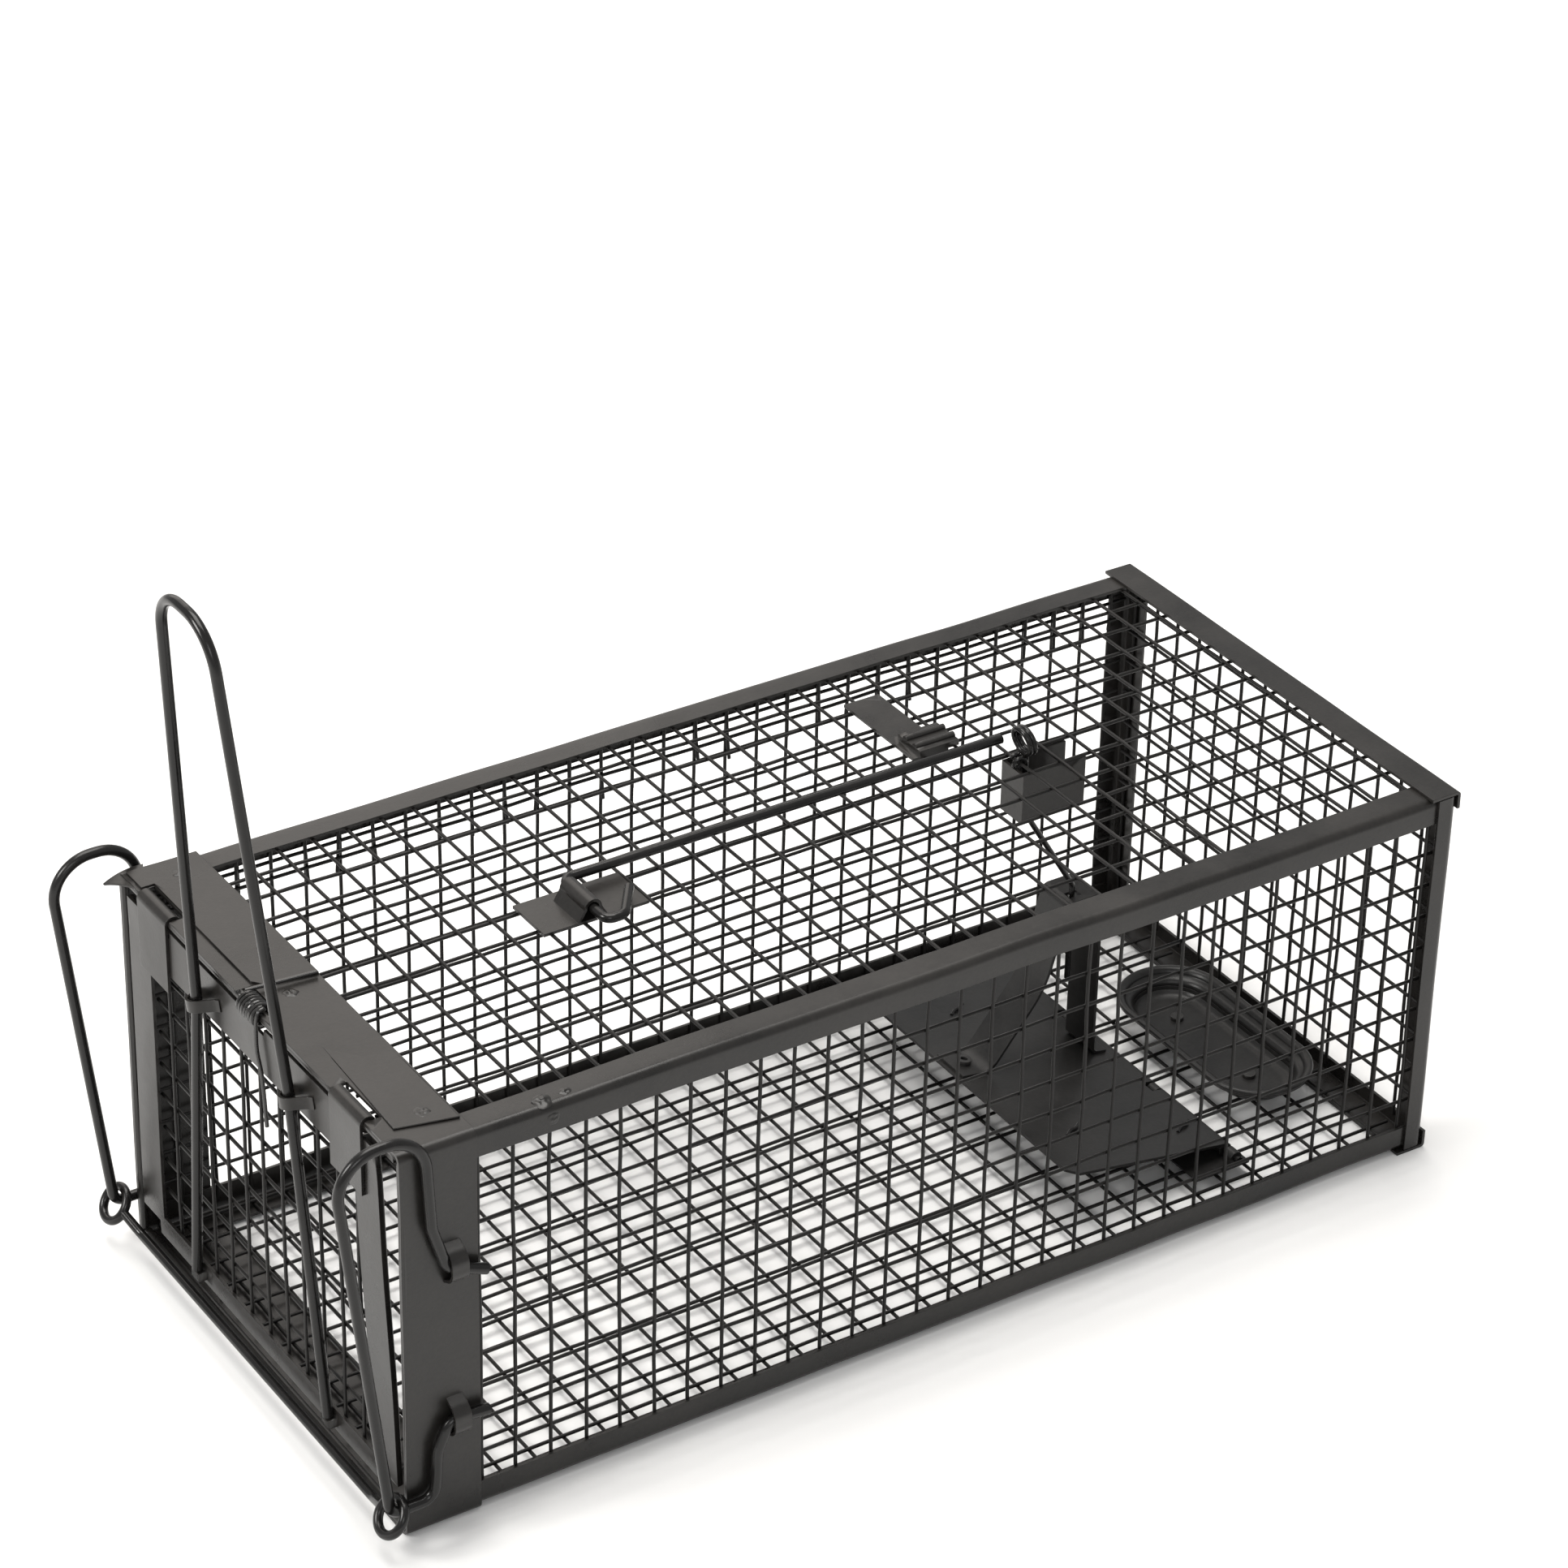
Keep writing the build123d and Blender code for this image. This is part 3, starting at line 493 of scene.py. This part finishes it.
def build_dish():
    """Press the oblong bait dish: a rolled rim, a step, sloped sides and a flat bottom."""
    low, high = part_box("bait_dish")
    middle = (low + high) / 2
    half_width = (high.x - low.x) / 2
    straight = (high.y - low.y) / 2 - half_width
    floor = low.z
    depth = high.z - low.z
    profile = (  # how far in from the rim, in mm, and how high, as a share of the depth
        (0.5, 0.80), (0.1, 0.86), (0.0, 0.93), (0.3, 0.99),
        (0.8, 1.0), (1.5, 0.97), (2.1, 0.9), (2.4, 0.8),
        (2.7, 0.72), (3.6, 0.68), (4.2, 0.62), (4.6, 0.5),
        (5.0, 0.3), (5.6, 0.17), (6.6, 0.1), (8.5, 0.09),
    )
    inner = [(inset * MM, floor + rise * depth) for inset, rise in profile]
    lowest = floor + 0.02 * MM
    outer = [(inset + 0.2 * MM, max(level - SHEET_GAUGE, lowest)) for inset, level in reversed(inner)]
    steps = 28
    bm = bmesh.new()
    rings = []
    for inset, level in inner + outer:
        radius = half_width - inset
        ring = []
        for end in (1, -1):
            for k in range(steps + 1):
                turn = math.pi * k / steps
                x = middle.x + end * math.cos(turn) * radius
                y = middle.y + end * (straight + math.sin(turn) * radius)
                ring.append(bm.verts.new((x, y, level)))
        rings.append(ring)
    inner_bottom, outer_bottom = rings[len(inner) - 1], rings[len(inner)]
    for a, b in zip(rings, rings[1:] + rings[:1]):
        if a is not inner_bottom:
            join_rings(bm, a, b)
    bm.faces.new(inner_bottom)
    bm.faces.new(reversed(outer_bottom))
    bmesh.ops.recalc_face_normals(bm, faces=bm.faces)
    finish_piece("pressed_dish", bm, "painted_treadle", "cage", ("bait_dish",), crease=50)


# ---------------------------------------------------------------- lanced straps


def arched(half):
    """Give the whole of a bulge from one side of it: steps from its middle, in mm, and rises."""
    return [*half, (0, 1.0), *((-step, rise) for step, rise in reversed(half))]


def add_strap(bm, path, across, width, gauge):
    """Sweep a flat strip along a path, with its width along one direction."""
    rings = []
    for i, point in enumerate(path):
        forward = (path[min(i + 1, len(path) - 1)] - path[max(i - 1, 0)]).normalized()
        thick = forward.cross(across).normalized() * gauge / 2
        half = across * width / 2
        corners = (half + thick, thick - half, -half - thick, half - thick)
        rings.append([bm.verts.new(point + corner) for corner in corners])
    for a, b in zip(rings, rings[1:]):
        join_rings(bm, a, b)
    bm.faces.new(reversed(rings[0]))
    bm.faces.new(rings[-1])
    bmesh.ops.recalc_face_normals(bm, faces=bm.faces)


def build_guide_straps():
    """Bulge the lanced straps of the band's sides over the guide wires."""
    low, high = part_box("guide_straps")
    middle_x = (low.x + high.x) / 2
    band_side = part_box("front_band")[1].y
    crest = high.y - band_side - 0.5 * MM
    shape = arched(((5.2, -0.12), (4.5, 0.22), (3.4, 0.7), (1.8, 0.97)))
    bm = bmesh.new()
    for side in (-1, 1):
        for height in (low.z + 5 * MM, high.z - 5.5 * MM):
            points = [
                Vector((middle_x, side * (band_side + rise * crest), height + step * MM))
                for step, rise in shape
            ]
            add_strap(bm, smooth_run(points, 5), Vector((1, 0, 0)), width=4.4 * MM, gauge=0.8 * MM)
    finish_piece("lanced_guide_straps", bm, "painted_sheet", "cage", ("guide_straps",), crease=45)


def build_lever_bridges():
    """Bulge the slanting bridges of the top rail over the lever's legs."""
    low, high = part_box("lever_bridges")
    rail_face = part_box("door_top_rail")[0].x
    leg = (high.y - low.y) / 2 - 3.4 * MM
    crest = rail_face - low.x - 0.35 * MM
    middle_z = (low.z + high.z) / 2
    slant = 0.28  # how steeply a bridge falls towards its left end
    across = Vector((0, slant, 1)).normalized()
    shape = arched(((-6.4, -0.02), (-5.0, 0.12), (-3.4, 0.5), (-2.0, 0.88)))
    bm = bmesh.new()
    for side in (-1, 1):
        points = [
            Vector((rail_face - rise * crest, side * leg + step * MM, middle_z - slant * step * MM))
            for step, rise in shape
        ]
        add_strap(bm, smooth_run(points, 5), across, width=3.0 * MM, gauge=0.7 * MM)
    finish_piece("lanced_lever_bridges", bm, "painted_sheet", "door", ("lever_bridges",), crease=45)


# ---------------------------------------------------------------- small marks of making


def weld_mark(name, centre, normal, radius, height, seed):
    """Raise a lumpy spot weld or paint run on the cage's sheet."""
    up = Vector(normal).normalized()
    side = up.orthogonal().normalized()
    forward = up.cross(side)
    steps, spokes = 7, 20
    bm = bmesh.new()
    rings = []
    for i in range(1, steps + 1):
        reach = i / steps
        sink = 0.05 * MM if i == steps else 0
        ring = []
        for k in range(spokes):
            turn = 2 * math.pi * k / spokes
            flat = side * math.cos(turn) + forward * math.sin(turn)
            lump = noise.noise(Vector((seed, 0, 0)) + flat * (2.2 * reach))
            edge = radius * (1 + 0.3 * noise.noise(Vector((seed + 7, 0, 0)) + flat * 1.5))
            rise = height * (1 - reach**2) * (0.7 + 0.9 * lump) - sink
            ring.append(bm.verts.new(centre + flat * edge * reach + up * rise))
        rings.append(ring)
    crown = bm.verts.new(centre + up * height * 0.35)
    for k in range(spokes):
        bm.faces.new((crown, rings[0][k], rings[0][(k + 1) % spokes]))
    for a, b in zip(rings, rings[1:]):
        join_rings(bm, b, a)
    finish_piece(name, bm, "painted_sheet", "cage", crease=70)


def build_marks():
    """Set the spot welds and paint runs on the sheet."""
    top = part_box("front_band")[1].z / MM
    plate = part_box("band_overlap")[1].z / MM
    edge_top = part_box("edge_top_right")[1].z / MM
    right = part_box("edge_top_right")[0].y / MM
    up, tilted, sideways = (0, 0, 1), (0, -0.2, 1), (0, -1, 0)
    marks = (  # name, place, normal, radius and height in mm, seed
        ("weld_step", at(10.6, 1.2, top), up, 1.9, 0.5, 1),
        ("weld_right", at(13.0, -57.5, top + 0.35), up, 2.2, 0.35, 2),
        ("weld_left", at(12.0, 61.0, plate), up, 1.8, 0.25, 4),
        ("paint_run_edge", at(39.0, -66.5, edge_top), tilted, 2.4, 0.45, 5),
        ("paint_run_small", at(45.5, -66.0, edge_top), tilted, 1.5, 0.35, 6),
        ("paint_run_side", at(40.5, right, 104.5), sideways, 1.8, 0.35, 7),
    )
    for name, place, normal, radius, height, seed in marks:
        weld_mark(name, place, normal, radius * MM, height * MM, seed)


def build_flared_corner():
    """Pull the front left corner of the top plate out to a curled point."""
    tip = at(-4.2, 70.5, 106.3)
    back, inner, front = at(6.5, 69.7, 109.1), at(4.2, 64.5, 109.15), at(0.5, 60.2, 109.0)
    crest_back, crest_front = at(0.9, 70.3, 109.35), at(-1.6, 65.6, 108.7)
    across, down = 14, 10
    nearly_tip = 0.985  # the curl stops just short of its point, so that its last faces have some width
    bm = bmesh.new()
    grid = []
    for i in range(across + 1):
        base = arc_point(back, inner, front, i / across)
        crest = crest_back.lerp(crest_front, i / across)
        curl = [arc_point(base, crest, tip, nearly_tip * j / down) for j in range(down + 1)]
        grid.append([bm.verts.new(point) for point in curl])
    for a, b in zip(grid, grid[1:]):
        for j in range(down):
            bm.faces.new((a[j], b[j], b[j + 1], a[j + 1]))
    bmesh.ops.recalc_face_normals(bm, faces=bm.faces)
    bmesh.ops.solidify(bm, geom=bm.faces[:], thickness=SHEET_GAUGE)
    finish_piece("flared_corner", bm, "painted_sheet", "cage", crease=45)


def block_piece(name, foot, head):
    """Make a strip of the cage's sheet from its four lower and four upper corners, edges eased."""
    bm = bmesh.new()
    foot = [bm.verts.new(corner) for corner in foot]
    head = [bm.verts.new(corner) for corner in head]
    bm.faces.new(reversed(foot))
    bm.faces.new(head)
    join_rings(bm, foot, head)
    bmesh.ops.bevel(bm, geom=bm.edges[:], offset=0.12 * MM, segments=2, affect="EDGES")
    bmesh.ops.recalc_face_normals(bm, faces=bm.faces)
    finish_piece(name, bm, "painted_sheet", "cage", crease=50)


def build_hems():
    """Turn the free ends of the sheet over: the hinge roll's inner lip and the band's front hems."""
    low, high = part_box("front_band")
    top = high.z / MM
    left_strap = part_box("hinge_strap_left")
    right_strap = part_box("hinge_strap_right")
    stops = (  # where each length of the lip starts and ends, clear of the straps and the spring
        low.y + 5 * MM, right_strap[0].y,
        right_strap[1].y, -7 * MM,
        9 * MM, left_strap[0].y,
        left_strap[1].y, high.y - 5 * MM,
    )
    for number, (start, end) in enumerate(zip(stops[::2], stops[1::2])):
        right, left = start / MM + 0.8, end / MM - 0.8
        outline = ((1.7, right), (2.5, right), (2.5, left), (1.7, left))
        foot = [at(x, y, top - 5.8) for x, y in outline]
        head = [at(x, y, top - 1.6) for x, y in outline]
        block_piece(f"hinge_roll_lip_{number}", foot, head)
    radius = 0.95
    for side, name in ((1, "left"), (-1, "right")):
        y = side * (abs(low.y) / MM - radius)
        line = [at(0.95, y, 2.4), at(0.9, y, 40), at(1.0, y, 75), at(0.95, y, top - 5.0)]
        tube_piece(f"band_hem_{name}", smooth_run(line, 6), radius * MM, "painted_sheet", "cage")


def build_lap():
    """Lay the top plate's right end over the side of the band, as a plate with a plain cut edge."""
    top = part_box("front_band")[1].z / MM
    outline = ((4.2, -60.2, 0.45), (19.4, -63.6, 0.45), (19.7, -22, 0.02), (6.2, -22, 0.02))
    foot = [at(x, y, top - 0.1) for x, y, _ in outline]
    head = [at(x, y, top + rise) for x, y, rise in outline]
    block_piece("top_plate_lap", foot, head)


def build_wire_ends():
    """Add the small wire ends on the treadle, and the loop that the catch swings from."""
    low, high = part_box("treadle_plate")
    rear_roll = 3.6 * MM  # the plate slopes down to its rear edge, which is rolled to this height
    for number, (x, y) in enumerate(((217, -33), (224, 30), (247, -41))):
        share = (FRONT + x * MM - low.x) / (high.x - low.x)
        level = high.z - 0.4 * MM - share * (high.z - low.z - rear_roll)
        start = Vector((FRONT + x * MM, y * MM, level + 0.45 * MM))
        offsets = ((-2.6, -1.2, 0.35), (-0.8, 0, 0.5), (1.2, 0.6, 0.3), (3.2, 2.0, 0.1))
        path = smooth_run([start + Vector(offset) * MM for offset in offsets])
        tube_piece(f"treadle_wire_end_{number}", path, 0.45 * MM, "painted_wire", "treadle")
    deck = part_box("top_mesh")[1].z
    centre = Vector((FRONT + 219.6 * MM, 2.45 * MM, deck - 0.6 * MM))
    steps, turns = 24, 1.4
    loop = []
    for i in range(steps + 1):
        turn = 2 * math.pi * i / steps * turns
        offset = Vector((math.cos(turn), 0, math.sin(turn))) * 1.5 * MM
        loop.append(centre + offset + Vector((0, (i / steps - 0.5) * 3 * MM, 0)))
    tube_piece("catch_loop", loop, 0.6 * MM, "painted_wire", "catch")


# ---------------------------------------------------------------- camera and studio


def build_camera():
    """Stand the camera where the trap is seen from its front right, from above."""
    azimuth = math.radians(CAMERA_AZIMUTH)
    elevation = math.radians(CAMERA_ELEVATION)
    roll = math.radians(CAMERA_ROLL)
    level_back = Vector((math.sin(azimuth), -math.cos(azimuth), 0))
    back = level_back * math.cos(elevation) + Vector((0, 0, math.sin(elevation)))
    level_right = (-back).cross(Vector((0, 0, 1))).normalized()
    level_up = level_right.cross(-back)
    right = level_right * math.cos(roll) + level_up * math.sin(roll)
    up = level_up * math.cos(roll) - level_right * math.sin(roll)
    camera = bpy.data.objects.new("camera", bpy.data.cameras.new("camera"))
    camera.data.lens = CAMERA_LENS
    camera.data.sensor_width = 36
    camera.data.clip_start = 0.01
    turn = Matrix((right, up, back)).transposed().to_4x4()
    camera.matrix_world = Matrix.Translation(at(*CAMERA_PLACE)) @ turn
    bpy.context.scene.collection.objects.link(camera)
    bpy.context.scene.camera = camera


def area_light(name, place, size, power, colour=(1, 1, 1), target=(0, 0, 0.05)):
    """Hang a soft square light and point it at a target, which is the trap's middle unless given."""
    data = bpy.data.lights.new(name, "AREA")
    data.shape = "SQUARE"
    data.size = size
    data.energy = power
    data.color = colour
    light = bpy.data.objects.new(name, data)
    light.location = place
    light.rotation_euler = (Vector(target) - Vector(place)).to_track_quat("-Z", "Y").to_euler()
    bpy.context.scene.collection.objects.link(light)


def build_studio():
    """Lay the pale floor and hang the soft lights."""
    bm = bmesh.new()
    bmesh.ops.create_grid(bm, x_segments=8, y_segments=8, size=4)
    mesh = bpy.data.meshes.new("floor")
    bm.to_mesh(mesh)
    bm.free()
    mesh.materials.append(floor_material())
    floor = bpy.data.objects.new("floor", mesh)
    floor.location.z = cad_box[0][2] - 0.1 * MM
    bpy.context.scene.collection.objects.link(floor)
    area_light("key", (-1.2, 0.2, 0.9), size=0.5, power=13, colour=(1, 0.985, 0.96))
    area_light("front_fill", (-0.7, -1.2, 0.9), size=0.5, power=3)
    area_light("overhead", (0.1, 0.3, 1.6), size=1.1, power=23, colour=(1, 0.975, 0.94))
    area_light(
        "back_sheen", (0.25, 1.35, 0.95), size=1.1, power=5, colour=(1, 0.93, 0.86), target=(-0.1, 0, 0.08)
    )
    world = bpy.data.worlds.new("studio")
    world.use_nodes = True
    world.node_tree.nodes["Background"].inputs["Color"].default_value = (1, 1, 1, 1)
    world.node_tree.nodes["Background"].inputs["Strength"].default_value = 0.54
    bpy.context.scene.world = world
    bpy.context.scene.view_settings.view_transform = "Standard"


paint_nodes()
build_meshes()
build_turned_ends()
build_sheets()
build_spring()
build_dish()
build_guide_straps()
build_lever_bridges()
build_marks()
build_flared_corner()
build_hems()
build_lap()
build_wire_ends()
build_camera()
build_studio()
